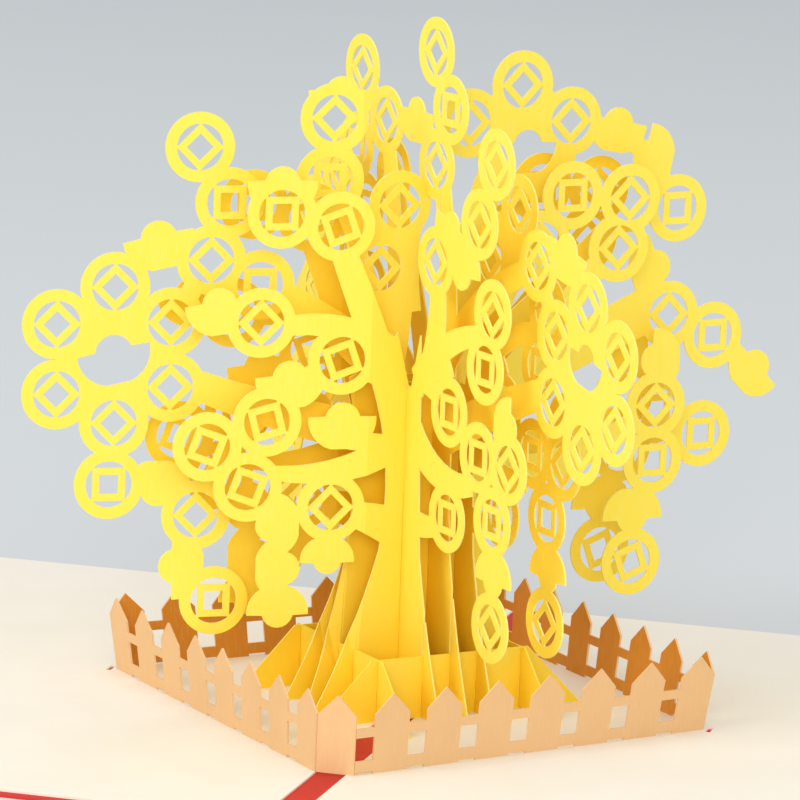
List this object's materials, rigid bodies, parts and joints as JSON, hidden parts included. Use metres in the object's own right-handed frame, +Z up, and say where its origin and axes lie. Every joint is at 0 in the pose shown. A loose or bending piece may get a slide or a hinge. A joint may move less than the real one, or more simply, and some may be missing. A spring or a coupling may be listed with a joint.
{
  "type": "pop up card",
  "caption": "Open pop up card with a yellow tree of old coins and ingots, made of crossing paper slices, inside a tan picket fence.",
  "frame": {"origin": "centre of the open cover's underside, on the surface that the card lies on", "axes": "+Z up out of the open card, +Y along the centre fold, away from the front, +X to the right"},
  "size_m": [0.3, 0.152, 0.113],
  "materials": {
    "cover_card": "matt red card",
    "page_card": "matt cream card",
    "fence_card": "matt tan card",
    "tree_card": "matt yellow card"
  },
  "bodies": {
    "root": {"cover": "cover_card", "left_page": "page_card", "right_page": "page_card", "left_fence": "fence_card", "right_fence": "fence_card", "low_slice_a1": "tree_card", "low_slice_a2": "tree_card", "low_slice_b1": "tree_card", "low_slice_b2": "tree_card", "tree_slice_a1": "tree_card", "tree_slice_a2": "tree_card", "tree_slice_a3": "tree_card", "tree_slice_b1": "tree_card", "tree_slice_b2": "tree_card", "tree_slice_b3": "tree_card"}
  },
  "joints": []
}
